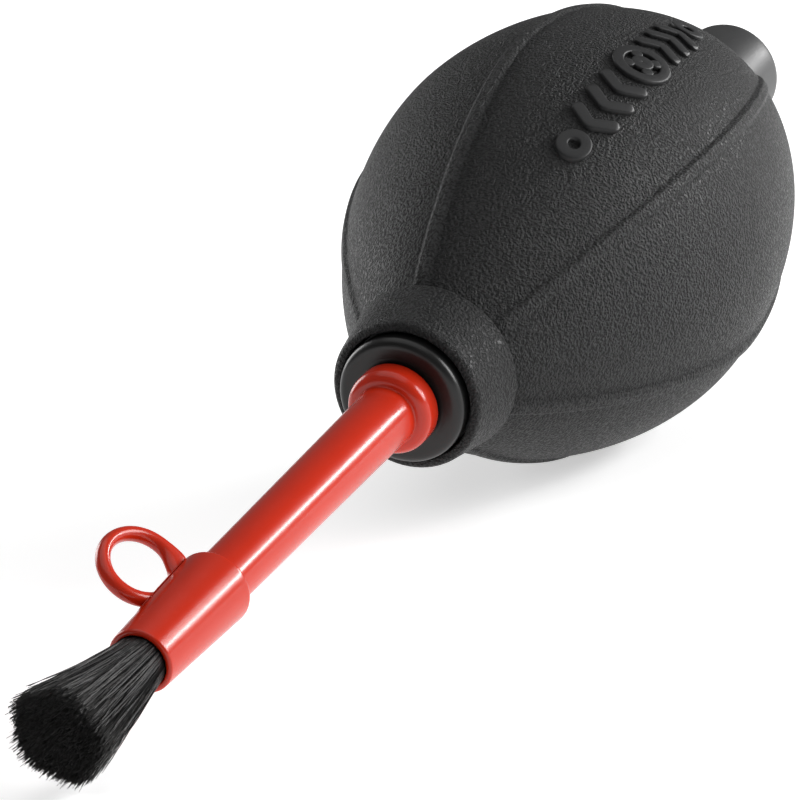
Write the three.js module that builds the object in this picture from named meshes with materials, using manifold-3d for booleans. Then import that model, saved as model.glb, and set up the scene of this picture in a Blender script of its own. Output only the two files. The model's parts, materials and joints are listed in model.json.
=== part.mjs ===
// Dust blower bulb for watch repair: a ribbed rubber bulb with an inlet valve at its back end, and
// a plug-in nozzle with a slip-on brush at its front. Millimetres, +Z up. It lies as it does on a
// bench, on the bulb's lowest rib and the brush, nozzle towards +X, the origin under its middle.
//
// Each piece is turned about the tool axis, which is +X in its own frame. Stations along it are
// counted from the seat where the nozzle's flange meets the collar, and grow towards the brush.
import * as THREE from "three";
import { ParametricGeometry } from "three/addons/geometries/ParametricGeometry.js";
import { mergeVertices } from "three/addons/utils/BufferGeometryUtils.js";
import Module from "manifold-3d";

// The bulb
const bulbRadius = 27.5;
const bulbFront = 53.5; // from the widest section to where the front would close
const bulbRear = 47.4;
const bulbWall = 2.6;
const ribHeight = 0.5;
const ribWidth = 1.2; // across a rib's flat top
const ribSlope = 0.5; // and across each of its flanks
const sideRibAngle = 64; // degrees from the top rib to the next one on each side
const lowRibAngle = 126; // and to the one after that; the last rib is underneath
const ribRunIn = 4; // axial length over which the ribs rise from the bulb's ends

// The neck
const neckLength = 8.8;
const neckRim = 1.15; // thickness of the rim around the collar
const neckTaper = 1.45; // how much wider the neck is at its base
const neckRidge = 1.2; // how far its base stands proud of the bulb

// The two places where the bulb is pressed
const padLength = 34;
const padHeight = 24;

// The socket, collar and seal in the neck
const socketWall = 0.8;
const socketLength = 12;
const collarLipRadius = 8.15;
const collarFace = -1.3;
const collarLipThickness = 2.8;
const collarRecess = 0.9; // how far the lip sits down in the neck's mouth
const collarStandOff = 1.1; // from the socket's end to the back of the lip
const collarBarrelLength = 12;
const collarEdge = 1; // radius of the rounded front edge
const sealThickness = 0.8;
const sealStation = -8;

// The nozzle
const nozzleBaseRadius = 3.85;
const nozzleTipRadius = 3.25;
const nozzleTip = 54;
const nozzleBore = 1.7;
const flangeRim = 1.55; // how far the flange stands out from the tube
const flangeThickness = 3.3;
const flangeShoulder = 1.3; // radius of its rounded front edge
const spigotRadius = 3.2;
const spigotLength = 12;

// The brush
const sleeveLength = 17.9;
const sleeveGrip = 6.5; // length of the nozzle inside it
const sleeveWall = 0.9; // at its back end
const sleeveFrontRadius = 3.8;
const mouthWall = 0.65;
const loopAngle = 133; // degrees up from +Y, around the axis
const loopHole = 7; // across the oval hole, away from the sleeve
const loopBand = 1.6;
const loopWidth = 1.8;
const loopStretch = 1.17; // how much longer the loop is along the sleeve than away from it
const loopSetback = 5.95; // from the sleeve's back end to the middle of the loop
const ferruleWall = 0.3;
const ferruleDepth = 0.7; // from the sleeve's mouth in to the ferrule
const rootBlockLength = 3;
const rootBlockGap = 2; // from the nozzle's tip to the root block
const airHole = 0.8; // radius of the way through the root block and the hair
const hairLength = 17.7; // in front of the sleeve
const hairTipRadius = 6.1;

// The inlet valve
const housingRadius = 7.4;
const housingLength = 18.2; // outside the bulb
const housingWall = 2.2;
const housingEdge = 2.6; // radius of the rounded back edge
const inletRadius = 1.8;
const spigotWall = 1.3;
const housingSpigotLength = 7;
const seatThickness = 1.6;
const seatHole = 2;
const flapThickness = 0.7;
const flapLift = 1.4;
const cageThickness = 1.2;
const backRidge = 0.5; // how far the bulb's back end stands out around the housing

// Gaps between pieces
const clearance = 0.3;
const runningGap = 0.2;

const roundSteps = 36;
const stepsPerLobe = 8;
const degrees = Math.PI / 180;

const wasm = await Module();
wasm.setup();

// A closed three.js geometry as a solid that can be joined and cut.
function solidOf(geometry) {
  const bare = geometry.clone();
  bare.deleteAttribute("normal");
  bare.deleteAttribute("uv");
  const merged = mergeVertices(bare);
  return new wasm.Manifold(
    new wasm.Mesh({
      numProp: 3,
      vertProperties: merged.attributes.position.array,
      triVerts: new Uint32Array(merged.index.array),
    }),
  );
}

function geometryOf(solid) {
  const mesh = solid.getMesh();
  const geometry = new THREE.BufferGeometry();
  const positions = new THREE.BufferAttribute(mesh.vertProperties, 3);
  geometry.setAttribute("position", positions);
  geometry.setIndex(new THREE.BufferAttribute(mesh.triVerts, 1));
  geometry.computeVertexNormals();
  return geometry;
}

// A round piece: its half section as [station, radius] points, once round it, towards +X along
// the outside and back along the inside. A solid one starts and ends on the axis.
function turned(section, steps = roundSteps) {
  const points = section.map(([along, radius]) => new THREE.Vector2(radius, along));
  const onAxis = section[0][1] === 0;
  if (!onAxis) points.push(points[0].clone());
  const geometry = new THREE.LatheGeometry(points, steps);
  geometry.rotateZ(-Math.PI / 2);
  return geometry;
}

// Points on a quarter circle, from its start angle to its end angle in degrees.
function arc(along, radius, size, from, to, steps = 4) {
  return Array.from({ length: steps + 1 }, (_, i) => {
    const angle = (from + ((to - from) * i) / steps) * degrees;
    return [along + size * Math.cos(angle), radius + size * Math.sin(angle)];
  });
}

function makeMesh(name, geometry, colour, roughness, metalness = 0) {
  const material = new THREE.MeshStandardMaterial({ color: colour, roughness, metalness });
  const mesh = new THREE.Mesh(geometry, material);
  mesh.name = name;
  return mesh;
}

const rubber = 0x3a3b3b;
const red = 0xc4301f;
const blackPlastic = 0x161616;
const greyPlastic = 0x4a4b4c;
const softRubber = 0x2b2b2b;
const brass = 0xb59a56;
const hair = 0x1b1a19;

// The bulb's outer radius between the ribs, at a distance in front of its widest section.
function bulbRadiusAt(along) {
  const front = along > 0;
  const share = Math.min(Math.abs(along) / (front ? bulbFront : bulbRear), 1);
  return bulbRadius * (1 - share ** (front ? 1.77 : 1.89)) ** (front ? 0.9 : 0.585);
}

// The ribs' angles around the axis, from the top one, and the points of each lobe: the near edge
// of the first rib's flat top, the feet and the skin between the two ribs, and the second's top.
const ribs = [0, sideRibAngle, lowRibAngle, 180, 360 - lowRibAngle, 360 - sideRibAngle, 360];
function lobePoint(index, radius) {
  const lobe = Math.floor(index / stepsPerLobe);
  const step = index % stepsPerLobe;
  const start = (90 + ribs[lobe]) * degrees;
  const end = (90 + ribs[lobe + 1]) * degrees;
  const top = ribWidth / 2 / radius;
  const foot = top + ribSlope / radius;
  if (step === 0) return { angle: start + top, rise: ribHeight };
  if (step === stepsPerLobe - 1) return { angle: end - top, rise: ribHeight };
  const share = (step - 1) / (stepsPerLobe - 3);
  return { angle: start + foot + (end - start - 2 * foot) * share, rise: 0 };
}

// A hollow ribbed piece: a closed loop of [station, radius, share of the rib height] points.
function ribbed(section) {
  const around = stepsPerLobe * (ribs.length - 1);
  const surface = (u, v, target) => {
    const [along, radius, height] = section[Math.round(u * section.length) % section.length];
    const { angle, rise } = lobePoint(Math.round(v * around) % around, radius);
    const out = radius + height * rise;
    target.set(along, out * Math.cos(angle), out * Math.sin(angle));
  };
  return new ParametricGeometry(surface, section.length, around);
}

// The neck follows the collar that it holds, and the bulb's front end follows the neck.
const neckBore = collarLipRadius + clearance;
const neckFrontRadius = neckBore + neckRim;
const neckBaseRadius = neckFrontRadius + neckTaper;
const neckFront = collarFace - collarLipThickness + collarRecess;
const neckBase = neckFront - neckLength;
const bulbCentre = neckBase - stationOfRadius(neckBaseRadius - neckRidge, 1);

// The bulb's back end follows the valve housing plugged into it.
const backRadius = housingRadius + backRidge;
const bulbBack = bulbCentre + stationOfRadius(backRadius, -1);
const housingBore = housingRadius - housingWall;
const housingSpigotRadius = housingBore + spigotWall;
const housingEnd = bulbBack - housingLength;

// Stations of the bulb's surface, closer together towards its ends.
function bulbStations(front, rear, steps) {
  return Array.from({ length: steps + 1 }, (_, i) => {
    const turn = (i / steps) * Math.PI;
    return rear + ((front - rear) * (1 + Math.cos(turn))) / 2;
  });
}

// The station, in front of or behind the widest section, where the bulb comes down to a radius.
function stationOfRadius(radius, direction) {
  const length = direction > 0 ? bulbFront : bulbRear;
  let near = 0;
  let far = length;
  for (let i = 0; i < 40; i += 1) {
    const middle = (near + far) / 2;
    if (bulbRadiusAt(direction * middle) > radius) near = middle;
    else far = middle;
  }
  return direction * near;
}

// The one-piece moulding, neck and bulb, before the pressed places are parted from it.
function bulbSkin() {
  const front = neckBase - bulbCentre;
  const rear = bulbBack - bulbCentre;
  const ribShare = (along) => Math.min(1, (front - along) / ribRunIn, (along - rear) / ribRunIn);
  const outside = bulbStations(front, rear, 16)
    .slice(1, -1)
    .map((x) => [x + bulbCentre, bulbRadiusAt(x), ribShare(x)]);
  const innerFront = stationOfRadius(neckBore + bulbWall, 1) - bulbWall / 2;
  const innerRear = rear + bulbWall;
  const backHole = housingSpigotRadius + clearance;
  const inside = bulbStations(innerRear, innerFront, 10).map((x) => [
    x + bulbCentre,
    Math.max(bulbRadiusAt(x) - bulbWall, backHole),
    0,
  ]);
  return ribbed([
    [neckFront, neckBore, 0],
    [neckFront, neckFrontRadius - neckRim / 2, 0],
    [neckFront - neckRim / 2, neckFrontRadius, 0],
    [neckBase, neckBaseRadius, 0],
    [neckBase - clearance, bulbRadiusAt(front), 0],
    ...outside,
    [bulbBack, backRadius, 0],
    [bulbBack, backHole, 0],
    ...inside,
    [bulbCentre + innerFront + clearance, neckBore, 0],
  ]);
}

// The oval bar, out through one side wall, that marks a pressed place.
function padBar(side, gap) {
  const oval = new THREE.Shape();
  oval.absellipse(0, 0, padLength / 2 + gap, padHeight / 2 + gap, 0, 2 * Math.PI);
  const bar = new THREE.ExtrudeGeometry(oval, {
    depth: bulbRadius,
    bevelEnabled: false,
    curveSegments: 8,
  });
  bar.rotateX(side > 0 ? -Math.PI / 2 : Math.PI / 2);
  bar.translate(bulbCentre, side * bulbRadius * 0.3, 0);
  return solidOf(bar);
}

const skin = solidOf(bulbSkin());

function makeBulbShell() {
  const shell = skin.subtract(padBar(1, clearance)).subtract(padBar(-1, clearance));
  return makeMesh("bulb_shell", geometryOf(shell), rubber, 0.8);
}

function makePad(name, side) {
  return makeMesh(name, geometryOf(skin.intersect(padBar(side, 0))), rubber, 0.8);
}

// The hard plastic sleeve inside the neck, which the collar's barrel snaps into.
const socketRadius = neckBore - clearance;
const socketBore = socketRadius - socketWall;
function makeSocket() {
  const front = collarFace - collarLipThickness - collarStandOff;
  const rear = front - socketLength;
  const section = [
    [rear, socketRadius],
    [front, socketRadius],
    [front, socketBore],
    [rear, socketBore],
  ];
  return makeMesh("neck_socket", turned(section), greyPlastic, 0.5);
}

// The glossy ring in the neck's mouth: a lip with a rounded edge, a barrel behind it, and a bore
// with a groove for the seal.
const collarBore = spigotRadius + clearance;
const barrelRear = collarFace - collarLipThickness - collarBarrelLength;
const sealInner = spigotRadius + clearance;
const grooveRadius = sealInner + sealThickness + clearance;
function makeCollar() {
  const barrelRadius = socketBore - runningGap;
  const edge = arc(collarFace - collarEdge, collarLipRadius - collarEdge, collarEdge, 90, 0);
  const grooveHalf = sealThickness / 2 + clearance;
  const section = [
    [barrelRear, barrelRadius],
    [collarFace - collarLipThickness, barrelRadius],
    [collarFace - collarLipThickness, collarLipRadius],
    ...edge,
    [collarFace, collarBore],
    [sealStation + grooveHalf, collarBore],
    [sealStation + grooveHalf, grooveRadius],
    [sealStation - grooveHalf, grooveRadius],
    [sealStation - grooveHalf, collarBore],
    [barrelRear, collarBore],
  ];
  return makeMesh("neck_collar", turned(section), blackPlastic, 0.25);
}

// The rubber ring between the collar's bore and the nozzle's spigot.
function makeSeal() {
  const radius = sealThickness / 2;
  const section = arc(sealStation, sealInner + radius, radius, 360, 0, 8).slice(1);
  return makeMesh("nozzle_seal", turned(section), softRubber, 0.6);
}

// The nozzle: a spigot that plugs into the collar, a flange with a rounded shoulder, and a long
// tapered tube with the air bore through it.
function nozzleRadius(station) {
  return nozzleBaseRadius + ((nozzleTipRadius - nozzleBaseRadius) * station) / nozzleTip;
}
function makeNozzle() {
  const flangeRadius = nozzleBaseRadius + flangeRim;
  const back = collarFace + clearance;
  const front = back + flangeThickness;
  const shoulder = flangeShoulder;
  const step = (flangeRadius - shoulder - nozzleBaseRadius) / 2;
  const section = [
    [back - spigotLength, nozzleBore],
    [back - spigotLength, spigotRadius],
    [back, spigotRadius],
    [back, flangeRadius],
    ...arc(front - shoulder - step, flangeRadius - shoulder, shoulder, 90, 0),
    [front, nozzleBaseRadius + step / 2],
    [front + 2 * step, nozzleRadius(front + 2 * step)],
    [nozzleTip - clearance, nozzleTipRadius],
    [nozzleTip, nozzleTipRadius - clearance],
    [nozzleTip, nozzleBore],
  ];
  return makeMesh("nozzle_tube", turned(section), red, 0.3);
}

// The slip-on brush sleeve: tapered outside, bored for the nozzle's end at its back and for the
// hair at its front, with a hanging loop moulded on its side.
const sleeveRear = nozzleTip - sleeveGrip;
const sleeveFront = sleeveRear + sleeveLength;
const sleeveBore = Math.max(nozzleRadius(sleeveRear), nozzleTipRadius) + clearance;
const sleeveRearRadius = sleeveBore + sleeveWall;
const mouthRadius = sleeveFrontRadius - mouthWall;
function sleeveRadius(station) {
  const share = (station - sleeveRear) / (sleeveFront - sleeveRear);
  return sleeveRearRadius + (sleeveFrontRadius - sleeveRearRadius) * share;
}
function makeSleeve() {
  const shoulder = 0.7;
  const rim = 0.2;
  const outside = turned([
    [sleeveRear, 0],
    [sleeveRear, sleeveRearRadius - shoulder],
    ...arc(sleeveRear + shoulder, sleeveRearRadius - shoulder, shoulder, 180, 90),
    [sleeveFront - rim, sleeveRadius(sleeveFront - rim)],
    [sleeveFront, sleeveFrontRadius - rim],
    [sleeveFront, 0],
  ]);
  const inside = turned([
    [sleeveRear - 1, 0],
    [sleeveRear - 1, sleeveBore],
    [nozzleTip + clearance, sleeveBore],
    [nozzleTip + clearance, mouthRadius],
    [sleeveFront + 1, mouthRadius],
    [sleeveFront + 1, 0],
  ]);
  const body = solidOf(outside).add(loopRing()).add(loopFoot()).subtract(solidOf(inside));
  return makeMesh("brush_sleeve", geometryOf(body), red, 0.3);
}

// The loop stands on the sleeve with its hole across the axis, turned up by the loop angle.
const loopStation = sleeveRear + loopSetback;
const loopOuter = loopHole / 2 + loopBand;
function standOnSleeve(geometry) {
  geometry.rotateX((loopAngle - 90) * degrees);
  return solidOf(geometry);
}
function loopRing() {
  const half = loopWidth / 2;
  const soft = loopBand / 4;
  const hole = loopHole / 2;
  const ring = turned(
    [
      [-half, hole + soft],
      [-half, loopOuter - soft],
      [soft - half, loopOuter],
      [half - soft, loopOuter],
      [half, loopOuter - soft],
      [half, hole + soft],
      [half - soft, hole],
      [soft - half, hole],
    ],
    24,
  );
  ring.rotateZ(Math.PI / 2);
  ring.scale(loopStretch, 1, 1);
  ring.translate(loopStation, 0, sleeveRadius(loopStation) + loopHole / 2 - clearance);
  return standOnSleeve(ring);
}
function loopFoot() {
  const thickness = 1.6;
  const foot = new THREE.BoxGeometry(2 * loopOuter * loopStretch, loopWidth, thickness);
  foot.translate(loopStation, 0, sleeveRadius(loopStation) - thickness / 4);
  return standOnSleeve(foot);
}

// Inside the sleeve's mouth: the block the hair is set in, and the thin band around its root.
const rootRadius = mouthRadius - clearance;
const blockRear = nozzleTip + rootBlockGap;
const ferruleRear = blockRear + rootBlockLength + clearance;
const ferruleLength = sleeveFront - ferruleDepth - ferruleRear;
function tube(rear, length, outer, inner) {
  return turned([
    [rear, inner],
    [rear, outer],
    [rear + length, outer],
    [rear + length, inner],
  ]);
}
function makeRootBlock() {
  const block = tube(blockRear, rootBlockLength, rootRadius, airHole);
  return makeMesh("brush_root_block", block, blackPlastic, 0.6);
}
function makeFerrule() {
  const band = tube(ferruleRear, ferruleLength, rootRadius, rootRadius - ferruleWall);
  return makeMesh("brush_ferrule", band, brass, 0.35, 1);
}

// The hair as one solid: a root in the ferrule, flaring out of the mouth to a blunt end.
function makeTuft() {
  const boundRadius = rootRadius - ferruleWall - clearance;
  const tip = sleeveFront + hairLength;
  const flare = [0.35, 0.7, 1].map((share) => [
    sleeveFront + hairLength * share,
    rootRadius + (hairTipRadius - rootRadius) * share ** 0.85,
  ]);
  const section = [
    [ferruleRear, boundRadius],
    [sleeveFront - ferruleDepth / 2, boundRadius],
    [sleeveFront, rootRadius],
    ...flare,
    [tip, airHole],
    [ferruleRear, airHole],
  ];
  return makeMesh("brush_tuft", turned(section), hair, 0.9);
}

// The valve housing plugged into the bulb's back end, with the air inlet in its end face.
function makeHousing() {
  const front = bulbBack - clearance;
  const tip = front + housingSpigotLength;
  const floor = housingEnd + housingWall;
  const section = [
    [housingEnd, inletRadius],
    ...arc(housingEnd + housingEdge, housingRadius - housingEdge, housingEdge, 180, 90, 6),
    [front, housingRadius],
    [front, housingSpigotRadius],
    [tip, housingSpigotRadius],
    [tip, housingBore],
    [floor, housingBore],
    [floor, inletRadius],
  ];
  return makeMesh("inlet_housing", turned(section), greyPlastic, 0.45);
}

// The valve: a seat across the housing's bore, a flap that lifts off it inwards, and a cage that
// guides the flap's stem and stops it.
const plateRadius = housingBore - clearance;
const seatRear = (housingEnd + bulbBack) / 2;
const flapRear = seatRear + seatThickness + clearance;
const cageRear = flapRear + flapThickness + flapLift + clearance;
const flapRadius = (seatHole + plateRadius) / 2;
const stemRadius = 0.7;
function makeSeat() {
  const seat = tube(seatRear, seatThickness, plateRadius, seatHole);
  return makeMesh("valve_seat", seat, greyPlastic, 0.5);
}
function makeFlap() {
  const flap = turned([
    [flapRear, 0],
    [flapRear, flapRadius],
    [flapRear + flapThickness, flapRadius],
    [flapRear + flapThickness, stemRadius],
    [cageRear + cageThickness + clearance, stemRadius],
    [cageRear + cageThickness + clearance, 0],
  ]);
  return makeMesh("valve_flap", flap, softRubber, 0.6);
}
function makeCage() {
  const count = 4;
  const guide = stemRadius + clearance;
  const web = 0.5;
  const holeRadius = (plateRadius - guide - 2 * web) / 2;
  let cage = solidOf(tube(cageRear, cageThickness, plateRadius, guide));
  for (let i = 0; i < count; i += 1) {
    const angle = (i / count) * 2 * Math.PI;
    const hole = new THREE.CylinderGeometry(holeRadius, holeRadius, 2 * cageThickness, 12);
    hole.rotateZ(-Math.PI / 2);
    hole.translate(
      cageRear + cageThickness / 2,
      (guide + web + holeRadius) * Math.cos(angle),
      (guide + web + holeRadius) * Math.sin(angle),
    );
    cage = cage.subtract(solidOf(hole));
  }
  return makeMesh("valve_cage", geometryOf(cage), greyPlastic, 0.5);
}

const shell = makeBulbShell();
const tuft = makeTuft();
const tool = new THREE.Group();
tool.add(shell, makePad("thumb_wall", 1), makePad("finger_wall", -1));
tool.add(makeSocket(), makeCollar(), makeSeal(), makeNozzle());
tool.add(makeSleeve(), makeRootBlock(), makeFerrule(), tuft);
tool.add(makeHousing(), makeSeat(), makeFlap(), makeCage());

// The tool's nose is turned down until the bulb and the hair stand on the same level.
function lowestPoint(mesh) {
  tool.updateMatrixWorld(true);
  return new THREE.Box3().setFromObject(mesh, true).min.z;
}
let level = 0;
let steep = 30 * degrees;
for (let i = 0; i < 40; i += 1) {
  tool.rotation.y = (level + steep) / 2;
  if (lowestPoint(tuft) > lowestPoint(shell)) level = tool.rotation.y;
  else steep = tool.rotation.y;
}
const box = new THREE.Box3().setFromObject(tool, true);
tool.position.set(-(box.min.x + box.max.x) / 2, -(box.min.y + box.max.y) / 2, -box.min.z);

const group = new THREE.Group();
group.add(tool);
export default group;
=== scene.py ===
import json
import math

import bpy
import numpy as np
from mathutils import Matrix, Vector


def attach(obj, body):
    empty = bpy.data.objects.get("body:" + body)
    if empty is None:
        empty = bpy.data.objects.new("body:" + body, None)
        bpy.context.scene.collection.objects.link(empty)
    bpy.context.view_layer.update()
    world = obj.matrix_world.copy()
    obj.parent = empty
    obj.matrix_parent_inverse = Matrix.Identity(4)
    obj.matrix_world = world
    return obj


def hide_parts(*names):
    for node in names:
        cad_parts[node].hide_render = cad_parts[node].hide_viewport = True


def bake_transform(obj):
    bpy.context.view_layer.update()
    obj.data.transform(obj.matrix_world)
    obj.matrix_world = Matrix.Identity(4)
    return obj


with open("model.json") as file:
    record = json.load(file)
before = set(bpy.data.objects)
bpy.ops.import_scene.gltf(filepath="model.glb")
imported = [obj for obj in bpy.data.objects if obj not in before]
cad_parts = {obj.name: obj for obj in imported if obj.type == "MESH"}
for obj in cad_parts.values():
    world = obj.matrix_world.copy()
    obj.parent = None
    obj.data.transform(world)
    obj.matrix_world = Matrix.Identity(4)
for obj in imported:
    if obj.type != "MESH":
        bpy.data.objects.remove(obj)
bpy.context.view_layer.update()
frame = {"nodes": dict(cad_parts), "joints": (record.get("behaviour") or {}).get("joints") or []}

# The bulb: one hollow moulding of soft black rubber with a grained skin and six low ribs, drawn in to
# a short neck in front and to a flat ring behind. It is made as a thumb side and a finger side that
# meet along the top and bottom ribs.
mm = 0.001
collar_joint = next(joint for joint in frame["joints"] if joint["name"] == "collar_turn")
seat = np.array(collar_joint["pos_m"])  # where the nozzle's flange meets the collar
forward = np.array(collar_joint["axis"])  # along the tool, towards the brush
sideways = np.array([0.0, 1.0, 0.0])
upward = np.cross(forward, sideways)


def placed(station, radius, angle):
    """Points at a station along the tool from the seat, a radius from its axis and an angle round it
    from +Y up: seat + forward * station + radius * (cos(angle) * sideways + sin(angle) * upward)."""
    station, radius, angle = np.broadcast_arrays(station, radius, angle)
    offset = (
        station[..., None] * forward
        + (radius * np.cos(angle))[..., None] * sideways
        + (radius * np.sin(angle))[..., None] * upward
    )
    return seat + mm * offset


def span(node):
    """A CAD node's first and last station and its least and greatest radius, in millimetres."""
    mesh = frame["nodes"][node].data
    flat = np.empty(3 * len(mesh.vertices), np.float32)
    mesh.vertices.foreach_get("co", flat)
    offset = (flat.reshape(-1, 3) - seat) / mm
    station = offset @ forward
    radius = np.hypot(offset @ sideways, offset @ upward)
    return station.min(), station.max(), radius.min(), radius.max()


def rounded(corners, steps=6):
    """A closed section from (station, radius, rounding) corners: each corner becomes an arc that is
    tangent to both of its sides, with one more point just past each end of the arc."""
    places = np.array([corner[:2] for corner in corners], float)
    points = []
    for here, before, after, corner in zip(
        places, np.roll(places, 1, 0), np.roll(places, -1, 0), corners
    ):
        size = corner[2]
        if size == 0:
            points.append(here[None])
            continue
        back = (before - here) / np.linalg.norm(before - here)
        onward = (after - here) / np.linalg.norm(after - here)
        half = math.acos(np.clip(back @ onward, -1, 1)) / 2
        middle = here + (back + onward) / np.linalg.norm(back + onward) * size / math.sin(half)
        start, end = here + back * size / math.tan(half), here + onward * size / math.tan(half)
        sweep = math.pi - 2 * half
        share = np.linspace(0, 1, steps + 1)[:, None]
        arc = np.sin((1 - share) * sweep) * (start - middle) + np.sin(share * sweep) * (end - middle)
        margin = 0.1 * size
        points += [
            (start + back * margin)[None],
            middle + arc / math.sin(sweep),
            (end + onward * margin)[None],
        ]
    return np.concatenate(points)


def make_piece(name, grids, closed=True):
    """A smooth mesh over equal grids of points [copy, step along the section, step round]. A section
    is a closed loop. Round the piece each grid closes on itself too, or else ends in two flat caps.
    Every face is turned outwards, by the sign of the volume that the faces enclose."""
    copies, rows, columns = grids.shape[:3]
    index = np.arange(rows * columns).reshape(rows, columns)
    ahead = np.roll(index, -1, 0)
    quads = np.stack([index, np.roll(index, -1, 1), np.roll(ahead, -1, 1), ahead], -1)
    kinds = [quads.reshape(-1, 4) if closed else quads[:, :-1].reshape(-1, 4)]
    if not closed:
        kinds.append(np.stack([index[:, 0], index[::-1, -1]]))
    offsets = rows * columns * np.arange(copies)[:, None, None]
    points = grids.reshape(-1, 3)
    volume = 0.0
    loops, sizes = [], []
    for kind in kinds:
        faces = (kind[None] + offsets).reshape(-1, kind.shape[1])
        first, second, third = points[faces[:, :1]], points[faces[:, 1:-1]], points[faces[:, 2:]]
        volume += (first * np.cross(second, third)).sum()
        loops.append(faces)
        sizes += [kind.shape[1]] * len(faces)
    if volume < 0:
        loops = [faces[:, ::-1] for faces in loops]
    corners = np.concatenate([faces.ravel() for faces in loops]).astype(np.int32)
    mesh = bpy.data.meshes.new(name)
    mesh.vertices.add(len(points))
    mesh.vertices.foreach_set("co", points.astype(np.float32).ravel())
    mesh.loops.add(len(corners))
    mesh.loops.foreach_set("vertex_index", corners)
    mesh.polygons.add(len(sizes))
    starts = np.concatenate([[0], np.cumsum(sizes)[:-1]]).astype(np.int32)
    mesh.polygons.foreach_set("loop_start", starts)
    mesh.update(calc_edges=True)
    mesh.shade_smooth()
    mesh.set_sharp_from_angle(angle=math.radians(35))
    piece = bpy.data.objects.new(name, mesh)
    bpy.context.scene.collection.objects.link(piece)
    return piece


def tint(piece, name, values):
    """Keeps one number for each of the piece's points, for its finish to read."""
    layer = piece.data.attributes.new(name, "FLOAT", "POINT")
    layer.data.foreach_set("value", np.ascontiguousarray(values, np.float32).ravel())


class Channel:
    """One output of a node in a finish. Arithmetic on it adds the Math nodes to that finish."""

    def __init__(self, finish, socket):
        self.finish = finish
        self.socket = socket

    def math(self, operation, first, second):
        """One Math node on two values, either of which may be a plain number."""
        return self.finish.node("Math", {"operation": operation}, {0: first, 1: second})

    def __add__(self, other):
        return self.math("ADD", self, other)

    __radd__ = __add__

    def __mul__(self, other):
        return self.math("MULTIPLY", self, other)

    __rmul__ = __mul__


class Finish:
    """A material made from nodes, around its Principled shader."""

    def __init__(self, name, **constants):
        self.material = bpy.data.materials.new(name)
        self.material.use_nodes = True
        self.tree = self.material.node_tree
        self.shader = self.tree.nodes["Principled BSDF"]
        for socket, value in constants.items():
            self.shader.inputs[socket.replace("_", " ")].default_value = value

    def node(self, kind, settings=None, sockets=None, output=0):
        """Adds a node of a type, makes its settings, then gives its sockets values or links."""
        made = self.tree.nodes.new("ShaderNode" + kind)
        for name, value in (settings or {}).items():
            setattr(made, name, value)
        for name, value in (sockets or {}).items():
            if isinstance(value, Channel):
                self.tree.links.new(value.socket, made.inputs[name])
            else:
                made.inputs[name].default_value = value
        return Channel(self, made.outputs[output])

    def noise(self, size, detail=2.0, roughness=0.5):
        """Noise from 0 to 1 with features about as wide as a size in millimetres."""
        place = self.node("TexCoord", output="Object")
        sockets = {"Vector": place, "Scale": 1 / (size * mm), "Detail": detail}
        return self.node("TexNoise", {}, {**sockets, "Roughness": roughness}, "Fac")

    def between(self, low, high, share, start=0.0, end=1.0):
        """A value that goes from low to high while a share goes from start to end, and stops there."""
        sockets = {"Value": share, "From Min": start, "From Max": end, "To Min": low, "To Max": high}
        return self.node("MapRange", {}, sockets)

    def layer(self, name):
        """The number that a piece keeps under a name for each of its points."""
        return self.node("Attribute", {"attribute_name": name}, {}, "Fac")

    def mixed(self, share, first, second):
        """One colour passing into another as a share goes from 0 to 1. The Mix node has a set of
        sockets for each kind of data, and its colours are the inputs 6 and 7 and the output 2."""
        return self.node("Mix", {"data_type": "RGBA"}, {0: share, 6: first, 7: second}, 2)

    def bumped(self, height, depth, strength=1.0):
        """A surface normal from a height, of which 1 stands for a depth in millimetres."""
        sockets = {"Height": height, "Distance": depth * mm, "Strength": strength}
        return self.node("Bump", {}, sockets)

    def wear(self, piece):
        """Gives this finish to a piece."""
        piece.data.materials.clear()
        piece.data.materials.append(self.material)

    def drive(self, **links):
        """Links channels to the shader's sockets."""
        for socket, channel in links.items():
            self.tree.links.new(channel.socket, self.shader.inputs[socket.replace("_", " ")])


shell_rear, shell_front, _, rib_radius = span("bulb_shell")
pad_rear, pad_front, _, _ = span("thumb_wall")
rib_height, rib_reach, rib_flank, rib_run_in = 0.5, 1.2, 0.75, 1.8
bulb_radius = rib_radius - rib_height
bulb_middle = (pad_rear + pad_front) / 2
bulb_front, front_power, front_fullness = 53.5, 1.77, 0.9
bulb_rear, rear_power, rear_fullness = 47.4, 1.89, 0.585
rib_turns = np.array([0.0, 64, 126, 180])  # degrees from the top rib, to either side
neck_base, neck_bore, neck_rim_radius, neck_base_radius = -12.0, 8.45, 9.6, 11.05
wall, back_radius, back_hole = 2.6, 7.9, 6.8
neck_inside = neck_base - 3.5  # where the neck's bore opens into the bulb
press_inner = 0.35  # share of the bulb's radius at which a press begins to carry the skin


def skin_radius(station):
    """Outer radius between the ribs: radius * (1 - share ** power) ** fullness, where share is the
    distance from the widest section over the length in front of it or behind it."""
    share = (station - bulb_middle) / np.where(station > bulb_middle, bulb_front, bulb_rear)
    power = np.where(station > bulb_middle, front_power, rear_power)
    fullness = np.where(station > bulb_middle, front_fullness, rear_fullness)
    return bulb_radius * (1 - np.clip(np.abs(share), 0, 1) ** power) ** fullness


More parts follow.
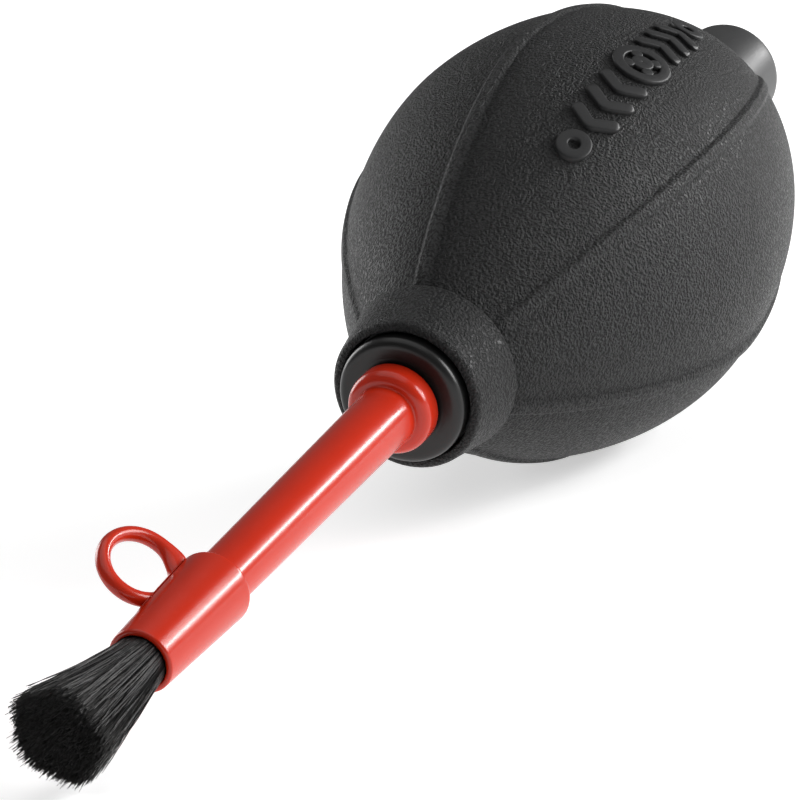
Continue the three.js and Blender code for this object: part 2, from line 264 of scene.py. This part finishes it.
def rib_rise(station, angle):
    """Height of the ribs, from 0 to 1: level across the top, then down an S-shaped flank with the
    distance round the bulb from the rib's middle line, and fading in from the bulb's two ends."""
    turn = np.abs((np.degrees(angle) - 90 + 180) % 360 - 180)
    gap = np.radians(np.abs(turn[..., None] - rib_turns).min(-1)) * skin_radius(station)
    flank = np.clip((rib_reach - gap) / rib_flank, 0, 1)
    run_in = np.clip(np.minimum(neck_base - station, station - shell_rear) / rib_run_in, 0, 1)
    return flank**2 * (3 - 2 * flank) * np.sin(run_in * math.pi / 2)


def bulb_outside(station, angle):
    """Radius of the bulb's outside, ribs included."""
    return skin_radius(station) + rib_height * rib_rise(station, angle)


def rib_columns(station, sign, skin_steps=44):
    """Angles of one side's columns at each station: at set distances from each rib's middle line
    across its top and its flanks, and in even steps over the skin between."""
    beside = rib_reach * np.concatenate([[0, 0.25], np.linspace(0.42, 1.06, 10)])
    reach = np.degrees(beside / np.maximum(skin_radius(station), neck_bore)[:, None])
    share = np.linspace(0, 1, skin_steps + 2)[1:-1]
    turns = []
    for low, high in zip(rib_turns, rib_turns[1:]):
        foot = reach[:, -1:]
        turns += [low + reach, low + foot + (high - low - 2 * foot) * share]
        turns.append((high - reach)[:, :0:-1])
    turns.append(np.full((len(station), 1), rib_turns[-1]))
    return np.radians(90 - sign * np.concatenate(turns, 1))


def bulb_side(sign, rows=250):
    """Half of the bulb as a grid: a closed section along the outside of the neck and the bulb and
    back along the inside of the wall, carried round from the top rib to the bottom one."""
    neck = rounded(
        [
            (shell_front - 1, neck_bore, 0),
            (shell_front, neck_bore, 0.25),
            (shell_front, neck_rim_radius, 0.85),
            (neck_base + 0.25, neck_base_radius, 0.5),
            (neck_base - 0.2, skin_radius(neck_base - 0.2), 0.12),
            (neck_base - 2, skin_radius(neck_base - 2), 0),
        ],
        8,
    )[:-1]
    end_gaps = 0.7, 0.5  # what the rounded corners take of the body's two ends
    low, high = shell_rear + end_gaps[0], neck_base - end_gaps[1]
    body = low + (high - low) * (1 + np.cos(np.linspace(0, math.pi, rows))) / 2
    rear = rounded(
        [
            (shell_rear + 2, skin_radius(shell_rear + 2), 0),
            (shell_rear, back_radius, 0.5),
            (shell_rear, back_hole, 0.2),
            (shell_rear + 2, back_hole, 0),
        ],
        5,
    )[1:-1]
    inner = np.linspace(shell_rear + wall, neck_inside, 60)
    inside = np.stack([inner, np.maximum(skin_radius(inner) - wall, back_hole)], 1)
    outside = np.stack([body, skin_radius(body)], 1)
    step = np.array([[neck_inside, neck_bore]])
    section = np.concatenate([neck, outside, rear, inside, step])
    angle = rib_columns(np.clip(section[:, 0], shell_rear, neck_base), sign)
    station = np.broadcast_to(section[:, :1], angle.shape)
    on_skin = np.zeros((len(section), 1))
    on_skin[len(neck) : len(neck) + rows] = 1
    rise = on_skin * rib_rise(station, angle)
    return station, section[:, 1:] + rib_height * rise, angle, rise


rubber = Finish("bulb_rubber", Specular_IOR_Level=0.3)
grain = rubber.between(0, 1, rubber.noise(0.36, 2.0, 0.6), 0.37, 0.63)
patches = rubber.noise(14, 3.0)
# The grain's pits are painted much darker than its tops: painted shade in the hollows of the grain.
grain_pit_painted_shade = rubber.mixed(patches, (0.0022, 0.0023, 0.0024, 1), (0.003, 0.0031, 0.0032, 1))
top_shade = rubber.mixed(patches, (0.009, 0.0092, 0.0095, 1), (0.016, 0.0163, 0.0167, 1))
# The ribs are painted lighter by their rise: partly wear on the raised ribs, partly a painted sheen for
# the light that catches them.
rib_wear_and_sheen = rubber.mixed(rubber.layer("rib") * 0.3, top_shade, (0.04, 0.0405, 0.041, 1))
rubber.drive(
    Base_Color=rubber.mixed(grain, grain_pit_painted_shade, rib_wear_and_sheen),
    Roughness=rubber.between(0.65, 0.36, grain * 0.8 + patches * 0.2),
    Normal=rubber.bumped(grain, 0.2, 1.0),
)
for name, sign, body in (
    ("bulb_thumb_side", 1, "thumb_wall"),
    ("bulb_finger_side", -1, "finger_wall"),
):
    station, radius, angle, rise = bulb_side(sign)
    side = make_piece(name, placed(station, radius, angle)[None], closed=False)
    tint(side, "rib", rise)
    rubber.wear(side)
    sign * press_inner * bulb_radius * mm
    sign * bulb_radius * mm
    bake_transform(side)
    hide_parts("bulb_shell", body)

# The raised emblem on the thumb side: a balance wheel between two rows of chevrons, moulded in one
# with the bulb as smooth, flat-topped ridges.
emblem_turn, emblem_middle = math.radians(56), -54.0
ridge_height, ridge_root = 0.6, 0.5  # above the skin, and below it
ring_width, bar_width, chevron_reach = 1.5, 1.6, 3.2


def squared(wave, power):
    """A sine or cosine with its flanks steepened: its sign times its size to a power below 1."""
    return np.sign(wave) * np.abs(wave) ** power


def ridges(along, around, width, closed):
    """Flat-topped ridges on the bulb: a squared oval section carried along paths, given as arrays of
    station and of distance round the bulb [copy, step]. The section sinks below the skin, and an
    open path has round ends."""
    if closed:
        slope = [np.roll(way, -1, 1) - np.roll(way, 1, 1) for way in (along, around)]
        narrow = np.ones_like(along)
    else:
        slope = [np.gradient(way, axis=1) for way in (along, around)]
        length = np.cumsum(np.hypot(*slope), 1)
        nearest = np.minimum(length - length[:, :1], length[:, -1:] - length) / (width / 2)
        narrow = np.sqrt(1 - (1 - np.clip(nearest, 0.02, 1)) ** 2)
    size = np.hypot(*slope)
    turn = np.linspace(0, 2 * math.pi, 25)[:-1]
    wide = squared(np.cos(turn), 0.35)[None, :, None] * narrow[:, None] * width / 2
    high = np.where(np.sin(turn) > 0, ridge_height, ridge_root) * squared(np.sin(turn), 0.35)
    station = along[:, None] - (slope[1] / size)[:, None] * wide
    angle = emblem_turn + (around[:, None] + (slope[0] / size)[:, None] * wide) / skin_radius(station)
    lift = high[None, :, None] * narrow[:, None] ** 0.3
    return placed(station, bulb_outside(station, angle) + lift, angle)


# Rings as a middle and a radius; spokes from the hub to the rim of the wheel; chevrons as rows of
# middles, each a V with a soft point that turns away from the wheel.
turning = np.linspace(0, 2 * math.pi, 65)[:-1]
rings = np.array([(0, 3.15), (0, 0.75), (18.9, 1.5), (-18.9, 1.5)])
ring_way = rings[:, :1] + rings[:, 1:] * np.cos(turning), rings[:, 1:] * np.sin(turning)
share = np.linspace(0, 1, 33)
spoke_turn = np.radians([45, 135, 225, 315])[:, None]
hub, rim = 1.1, 2.8
spoke_reach = hub + (rim - hub) * share
bend = 2 * share - 1
chevrons = np.array([6.3, 10.2, 14.1, -6.3, -10.2, -14.1])[:, None]
point, depth, softness = 1.0, 2.2, 0.01
chevron_way = chevrons + np.sign(chevrons) * (point - depth * np.sqrt(bend**2 + softness))
bar_way = (
    np.concatenate([spoke_reach * np.cos(spoke_turn), chevron_way]),
    np.concatenate(
        [spoke_reach * np.sin(spoke_turn), np.repeat(chevron_reach * bend[None], len(chevrons), 0)]
    ),
)
emblem_rubber = Finish("emblem_rubber", Specular_IOR_Level=0.35)
fine = emblem_rubber.noise(0.3, 2.0)
emblem_rubber.drive(
    Base_Color=emblem_rubber.mixed(fine, (0.011, 0.0112, 0.0116, 1), (0.019, 0.0192, 0.0197, 1)),
    Roughness=emblem_rubber.between(0.38, 0.52, fine),
    Normal=emblem_rubber.bumped(fine, 0.03, 0.6),
)
for name, way, width, closed in (
    ("emblem_rings", ring_way, ring_width, True),
    ("emblem_bars", bar_way, bar_width, False),
):
    emblem = make_piece(name, ridges(emblem_middle + way[0], way[1], width, closed), closed)
    emblem_rubber.wear(emblem)
    press_inner * bulb_radius * mm
    bulb_radius * mm
    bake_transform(emblem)

# The socket in the neck: a plain tube of hard grey nylon, pushed into the rubber, which the collar's
# barrel turns in.
nylon = Finish("socket_nylon", Specular_IOR_Level=0.45)
clouds = nylon.noise(3, 3.0)
nylon.drive(
    Base_Color=nylon.mixed(clouds, (0.05, 0.052, 0.055, 1), (0.075, 0.077, 0.08, 1)),
    Roughness=nylon.between(0.42, 0.58, clouds),
    Normal=nylon.bumped(nylon.noise(0.4), 0.01),
)
nylon.wear(frame["nodes"]["neck_socket"])

# The collar: a glossy black ring with a rounded lip, turned from acetal, and the barrel behind it.
# Its face falls away a little towards the nozzle's flange.


def turned(name, section, steps=144):
    """A round piece: a closed section of (station, radius) points carried once round the axis."""
    angle = np.linspace(0, 2 * math.pi, steps + 1)[:-1][None]
    return make_piece(name, placed(section[:, :1], section[:, 1:2], angle)[None])


barrel_rear, collar_face, collar_bore, lip_radius = span("neck_collar")
spigot_end, nozzle_tip, nozzle_bore, flange_radius = span("nozzle_tube")
lip_back, barrel_radius = collar_face - 2.8, 7.15
groove_rear, groove_front, groove_radius = -8.7, -7.3, 4.6
face_fall = 0.15
collar = turned(
    "collar_ring",
    rounded(
        [
            (barrel_rear, collar_bore, 0.2),
            (barrel_rear, barrel_radius, 0.4),
            (lip_back, barrel_radius, 0),
            (lip_back, lip_radius, 0.3),
            (collar_face, lip_radius, 1.05),
            (collar_face - face_fall, flange_radius + 0.4, 0.3),
            (collar_face - face_fall, collar_bore, 0.25),
            (groove_front, collar_bore, 0),
            (groove_front, groove_radius, 0),
            (groove_rear, groove_radius, 0),
            (groove_rear, collar_bore, 0),
        ],
        8,
    ),
)
acetal = Finish("black_acetal", Specular_IOR_Level=0.4)
smear = acetal.noise(5, 3.0)
acetal.drive(
    Base_Color=acetal.mixed(smear, (0.004, 0.004, 0.004, 1), (0.007, 0.007, 0.007, 1)),
    Roughness=acetal.between(0.26, 0.38, smear),
    Normal=acetal.bumped(acetal.noise(0.5, 3.0), 0.004),
)
acetal.wear(collar)
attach(collar, "collar")
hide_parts("neck_collar")

# The seal: a moulded ring of black nitrile rubber in the collar's groove, which grips the nozzle's
# spigot and keeps the air in.
nitrile = Finish("seal_nitrile", Specular_IOR_Level=0.4)
bloom = nitrile.noise(1.5, 3.0)
nitrile.drive(
    Base_Color=nitrile.mixed(bloom, (0.012, 0.012, 0.012, 1), (0.03, 0.03, 0.03, 1)),
    Roughness=nitrile.between(0.45, 0.7, bloom),
    Normal=nitrile.bumped(nitrile.noise(0.25), 0.01),
)
nitrile.wear(frame["nodes"]["nozzle_seal"])

# The nozzle: one red moulding, a spigot that plugs into the collar, a flange with a round shoulder,
# and a long tube that tapers to the brush.
tube_base, tube_tip, spigot_radius = 3.85, 3.25, 3.2
flange_back, flange_front, flange_cone = -1.0, 2.3, 0.12
nozzle = turned(
    "nozzle_red_tube",
    rounded(
        [
            (spigot_end, nozzle_bore, 0.3),
            (spigot_end, spigot_radius, 0.5),
            (flange_back, spigot_radius, 0.1),
            (flange_back, flange_radius, 0.25),
            (flange_front, flange_radius, 1.3),
            (flange_front + flange_cone, tube_base - 0.02, 0.22),
            (nozzle_tip, tube_tip, 0.3),
            (nozzle_tip, nozzle_bore, 0.2),
        ],
        8,
    ),
)
red = Finish("red_plastic", IOR=1.46)
flow = red.noise(9, 3.0)
ripple = red.noise(2.2, 2.0)
red.drive(
    Base_Color=red.mixed(flow, (0.47, 0.018, 0.003, 1), (0.52, 0.022, 0.005, 1)),
    Roughness=red.between(0.17, 0.26, ripple),
    Normal=red.bumped(ripple * 0.7 + red.noise(0.35) * 0.3, 0.01, 0.5),
)
red.wear(nozzle)
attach(nozzle, "nozzle")
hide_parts("nozzle_tube")

# The brush sleeve: a second red moulding that slips over the nozzle's end, with a rounded back edge,
# a thin rim at its mouth, and a hanging loop on a low pad on its side.
sleeve_rear, sleeve_front, mouth_radius, _ = span("brush_sleeve")
sleeve_rear_radius, sleeve_front_radius, sleeve_bore = 4.52, 3.8, 3.62
bore_end = nozzle_tip + 0.3  # where the wide bore steps down to the mouth
sleeve = turned(
    "brush_red_sleeve",
    rounded(
        [
            (sleeve_rear, sleeve_bore, 0.15),
            (sleeve_rear, sleeve_rear_radius, 0.65),
            (sleeve_front, sleeve_front_radius, 0.4),
            (sleeve_front, mouth_radius, 0.15),
            (bore_end, mouth_radius, 0),
            (bore_end, sleeve_bore, 0),
        ],
        8,
    ),
)
loop_turn = math.radians(133)
loop_hole, loop_band, loop_width, loop_stretch = 3.5, 1.6, 1.75, 1.17
loop_station, loop_sink = sleeve_rear + 5.95, 0.4
web_turn, web_width = 214, 22  # degrees round the hole, from the brush's end
foot_reach, foot_width, foot_height = 5.9, 0.95, 0.1


def sleeve_radius(station):
    """Outer radius of the sleeve, tapering evenly from its back end to its mouth."""
    share = (station - sleeve_rear) / (sleeve_front - sleeve_rear)
    return sleeve_rear_radius + (sleeve_front_radius - sleeve_rear_radius) * share


loop_height = sleeve_radius(loop_station) + loop_hole - loop_sink


def standing(station, across, height):
    """Points beside the loop's middle plane: a station, a distance across it, a height off the axis."""
    radius = np.hypot(across, height)
    return placed(station, radius, loop_turn + np.arctan2(across, height))


def loop_grid(steps=120, section_steps=28):
    """The loop: an oval section carried round an oval hole. Its outer side swells into a web where
    its back leg comes down, and below the sleeve's skin it flattens into the wall."""
    turn = np.linspace(0, 2 * math.pi, steps + 1)[:-1][None]
    section = np.linspace(0, 2 * math.pi, section_steps + 1)[:-1][:, None]
    web = np.exp(-(((np.degrees(turn) - web_turn) / web_width) ** 2))
    swell = np.where(np.cos(section) > 0, 1 + 1.2 * web, 1 + 0.35 * web)
    out = loop_band / 2 * np.cos(section) * swell
    radius = loop_hole + loop_band / 2 + out
    station = loop_station + loop_stretch * radius * np.cos(turn)
    bury, softness = 0.35, 0.08
    floor = sleeve_radius(station) - bury
    above = loop_height + radius * np.sin(turn) - floor
    height = floor + np.log1p(np.exp(above / softness)) * softness
    return standing(station, loop_width / 2 * np.sin(section) * (1 - 0.1 * web), height)


def foot_grid(steps=60, section_steps=20):
    """The low rib along the sleeve that the loop stands on: a squared oval section, tapering to
    nothing at its two ends."""
    share = np.linspace(-1, 1, steps)[None]
    section = np.linspace(0, 2 * math.pi, section_steps + 1)[:-1][:, None]
    narrow = np.sqrt(1 - (0.995 * share) ** 6)
    station = loop_station + foot_reach * share
    wide = foot_width * squared(np.cos(section), 0.6) * narrow
    high = foot_height * squared(np.sin(section), 0.6) * narrow
    return standing(station, wide, sleeve_radius(station) + high)


loop = make_piece("brush_red_loop", loop_grid()[None])
foot = make_piece("brush_loop_foot", foot_grid()[None], closed=False)
for piece in (sleeve, loop, foot):
    red.wear(piece)
    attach(piece, "brush")
    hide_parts("brush_sleeve")

# The root block and the ferrule: the black block that the hair is set in, and the thin brass band
# that binds its root inside the sleeve's mouth.
block_plastic = Finish("root_block_plastic", Specular_IOR_Level=0.4)
speckle = block_plastic.noise(0.8, 3.0)
block_plastic.drive(
    Base_Color=block_plastic.mixed(speckle, (0.008, 0.008, 0.008, 1), (0.02, 0.02, 0.02, 1)),
    Roughness=block_plastic.between(0.5, 0.7, speckle),
    Normal=block_plastic.bumped(speckle, 0.02),
)
block_plastic.wear(frame["nodes"]["brush_root_block"])
brass = Finish("ferrule_brass", Metallic=1.0)
tarnish = brass.noise(1.2, 4.0)
brass.drive(
    Base_Color=brass.mixed(tarnish, (0.62, 0.45, 0.17, 1), (0.36, 0.23, 0.09, 1)),
    Roughness=brass.between(0.22, 0.45, tarnish),
    Normal=brass.bumped(brass.noise(0.15, 3.0), 0.004),
)
brass.wear(frame["nodes"]["brush_ferrule"])

# The hair: thousands of stiff black bristles set in the root block, bound by the ferrule and
# spreading out of the sleeve's mouth to a ragged blunt end.
tuft_rear, tuft_front, _, _ = span("brush_tuft")
hair_length = tuft_front - sleeve_front - 0.3
root_radius, bound_share, bound_end = mouth_radius - 0.08, 0.8, sleeve_front - 0.7
tip_radius, hair_thickness, lock_count = 5.5, 0.055, 160
set_aside, set_turn = 0.5, math.radians(128)
wave_height, wave_count = 0.13, 1.2


def bristles(count, seed, sides=3):
    """Bristles as grids [bristle, side, step]: each starts at a place in the bound root, passes the
    sleeve's mouth, then leans outwards in proportion to that place, towards a tip face with five
    soft corners, with the whole tuft set a little to one side. It leans towards the nearest lock's
    middle with the square of the distance, and waves. It is a thin prism that tapers to its tip."""
    draw = np.random.default_rng(seed)
    place = np.sqrt(draw.random(count))
    turn = draw.uniform(0, 2 * math.pi, count)
    length = hair_length * (1 - 0.09 * draw.random(count) ** 2 + draw.normal(0, 0.016, count))
    beyond = np.concatenate([[0, 0], np.linspace(0, 1, 7)])[None]
    start = np.array([tuft_rear, bound_end] + [sleeve_front] * 7)
    station = start + length[:, None] * beyond
    bound = np.array([bound_share] * 2 + [1.0] * 7)
    corner = 1 + 0.06 * np.cos(5 * turn + 0.6)
    lean = (tip_radius / root_radius * corner - 1)[:, None] * beyond**0.95
    middle = np.stack([np.cos(turn), np.sin(turn)], -1) * (root_radius * place)[:, None]
    tip = middle * (1 + lean[:, -1:])
    lock_radius = tip_radius * np.sqrt(draw.random(lock_count))
    lock_turn = draw.uniform(0, 2 * math.pi, lock_count)
    locks = np.stack([np.cos(lock_turn), np.sin(lock_turn)], -1) * lock_radius[:, None]
    nearest = locks[np.linalg.norm(tip[:, None] - locks, axis=-1).argmin(1)]
    stray = (nearest - tip) * 0.15 + draw.normal(0, 0.33, (count, 2))
    set_over = set_aside * np.array([math.cos(set_turn), math.sin(set_turn)])
    spread = middle[:, None] * (bound * (1 + lean))[..., None]
    spread = spread + (stray[:, None] + set_over) * (beyond**2)[..., None]
    phase = 2 * math.pi * (wave_count * beyond[..., None] + draw.random((count, 1, 2)))
    spread = spread + wave_height * np.sin(phase) * beyond[..., None]
    thick = hair_thickness * draw.uniform(0.75, 1.25, count)[:, None] * (1 - 0.35 * beyond**3)
    corners = draw.uniform(0, 2 * math.pi, count)[:, None] + np.arange(sides) * 2 * math.pi / sides
    side_way = spread[:, None, :, 0] + np.cos(corners)[..., None] * thick[:, None]
    up_way = spread[:, None, :, 1] + np.sin(corners)[..., None] * thick[:, None]
    stations = np.repeat(station[:, None], sides, 1)
    tone = np.broadcast_to(draw.random(count)[:, None, None], stations.shape)
    worn = np.broadcast_to(beyond**12, stations.shape)
    grids = placed(stations, np.hypot(side_way, up_way), np.arctan2(up_way, side_way))
    return grids, tone, worn


hair = Finish("black_hair", Specular_IOR_Level=0.25)
tone = hair.layer("tone")
flecks = hair.between(0, 1, tone * 0.6 + hair.noise(0.7, 2.0) * 0.8, 0.82, 1.05)
strand = hair.mixed(flecks, (0.0035, 0.0035, 0.0035, 1), (0.09, 0.088, 0.085, 1))
hair.drive(
    Base_Color=hair.mixed(hair.layer("worn_tip"), strand, (0.045, 0.044, 0.043, 1)),
    Roughness=hair.between(0.4, 0.6, tone),
)
for number in range(3):
    grids, tones, worn = bristles(3900, 11 + number)
    tuft = make_piece(f"brush_bristles_{number + 1}", grids, closed=False)
    tint(tuft, "tone", tones)
    tint(tuft, "worn_tip", worn)
    hair.wear(tuft)
    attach(tuft, "brush")
    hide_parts("brush_tuft")

# The valve housing: a smooth grey plug with a round back edge, pushed into the bulb's back end, with
# the air inlet in its end face.
housing_end, housing_tip, inlet_radius, housing_radius = span("inlet_housing")
housing_front, housing_spigot, housing_bore = shell_rear - 0.3, 6.5, 5.2
end_wall = housing_end + 2.2
housing = turned(
    "valve_housing",
    rounded(
        [
            (housing_end, inlet_radius, 0.35),
            (housing_end, housing_radius, 2.55),
            (housing_front, housing_radius, 0.3),
            (housing_front, housing_spigot, 0.05),
            (housing_tip, housing_spigot, 0.4),
            (housing_tip, housing_bore, 0.2),
            (end_wall, housing_bore, 0.4),
            (end_wall, inlet_radius, 0.2),
        ],
        8,
    ),
)
grey = Finish("grey_plastic", Specular_IOR_Level=0.45)
haze = grey.noise(4, 3.0)
grey.drive(
    Base_Color=grey.mixed(haze, (0.028, 0.0283, 0.0288, 1), (0.04, 0.0404, 0.041, 1)),
    Roughness=grey.between(0.38, 0.5, haze),
    Normal=grey.bumped(grey.noise(0.3, 2.0), 0.012),
)
grey.wear(housing)
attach(housing, "bulb")
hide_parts("inlet_housing")

# Inside the housing: the valve seat and the cage, both moulded in the same grey plastic, and the soft
# flap between them.
for node in ("valve_seat", "valve_cage"):
    grey.wear(frame["nodes"][node])
nitrile.wear(frame["nodes"]["valve_flap"])

# The bench: a plain sheet of pale paper, far wider than the tool, which glows a little so that it
# stays even and pale right up to the tool.
bench_size = 3.0
corners = np.array([[-1, -1, 0], [1, -1, 0], [1, 1, 0], [-1, 1, 0]]) * bench_size
bench_mesh = bpy.data.meshes.new("bench")
bench_mesh.from_pydata(corners.tolist(), [], [(0, 1, 2, 3)])
bench = bpy.data.objects.new("bench", bench_mesh)
bpy.context.scene.collection.objects.link(bench)
paper = Finish("bench_paper", Roughness=0.9, Specular_IOR_Level=0.1, Emission_Strength=0.5)
paper.shader.inputs["Emission Color"].default_value = (1, 1, 1, 1)
paper.drive(Base_Color=paper.mixed(paper.noise(60), (0.9, 0.9, 0.9, 1), (0.93, 0.93, 0.93, 1)))
paper.wear(bench)

# The camera: a long lens above the bench, in front of the brush and to the thumb side, turned so
# that the tool lies from corner to corner of the view.
lean = math.radians(35.65)  # between the tool's axis and the line of sight
roll = math.radians(38)  # round the tool's axis, from sideways, to the side nearest the lens
seat_depth = 477.8  # millimetres from the lens to the seat
seat_along, seat_across = 1.147, 0.14  # how far the seat lies off the middle of the view
near_side = math.cos(roll) * sideways + math.sin(roll) * upward
across_view = math.cos(roll - math.pi / 2) * sideways + math.sin(roll - math.pi / 2) * upward
along_view = math.sin(lean) * forward - math.cos(lean) * near_side
line_of_sight = -math.cos(lean) * forward - math.sin(lean) * near_side
eye = seat - mm * (seat_across * across_view + seat_along * along_view + seat_depth * line_of_sight)
right = (across_view - along_view) / math.sqrt(2)
top = -(across_view + along_view) / math.sqrt(2)
camera_data = bpy.data.cameras.new("camera")
camera_data.lens = 180
camera_data.sensor_width = 36
camera_data.clip_start, camera_data.clip_end = 0.02, 50
camera = bpy.data.objects.new("camera", camera_data)
bpy.context.scene.collection.objects.link(camera)
turn = np.stack([right, top, -line_of_sight], 1)
camera.matrix_world = Matrix.Translation(eye) @ Matrix(turn.tolist()).to_4x4()
bpy.context.scene.camera = camera

# The lights: a wide soft panel overhead, a soft panel to each side, a narrow strip at the back that
# draws the thin streak along the nozzle, and an even dim surround.


lit_middle = Vector((0, 0, 0.02))


def panel(name, direction, distance, width, height, power):
    """A rectangular soft light at a distance from the tool, in a direction, facing the tool."""
    data = bpy.data.lights.new(name, "AREA")
    data.shape = "RECTANGLE"
    data.size, data.size_y, data.energy = width, height, power
    light = bpy.data.objects.new(name, data)
    bpy.context.scene.collection.objects.link(light)
    away = Vector(direction).normalized()
    facing = away.to_track_quat("Z", "Y").to_matrix().to_4x4()
    light.matrix_world = Matrix.Translation(lit_middle + away * distance) @ facing


panel("overhead", (0.0, 0.0, 1.0), 0.9, 1.1, 1.1, 3.0)
panel("right_side", (-0.45, 0.9, 0.4), 0.9, 0.45, 0.45, 6.5)
panel("left_side", (-0.3, -1.0, 0.3), 0.8, 0.4, 0.4, 2.5)
panel("right_strip", (-0.778, 0.564, 0.278), 1.0, 0.5, 0.08, 5)
surround = bpy.data.worlds.new("surround")
surround.use_nodes = True
backdrop = surround.node_tree.nodes["Background"]
backdrop.inputs["Color"].default_value = (1, 1, 1, 1)
backdrop.inputs["Strength"].default_value = 0.16
bpy.context.scene.world = surround
bpy.context.scene.view_settings.view_transform = "Standard"
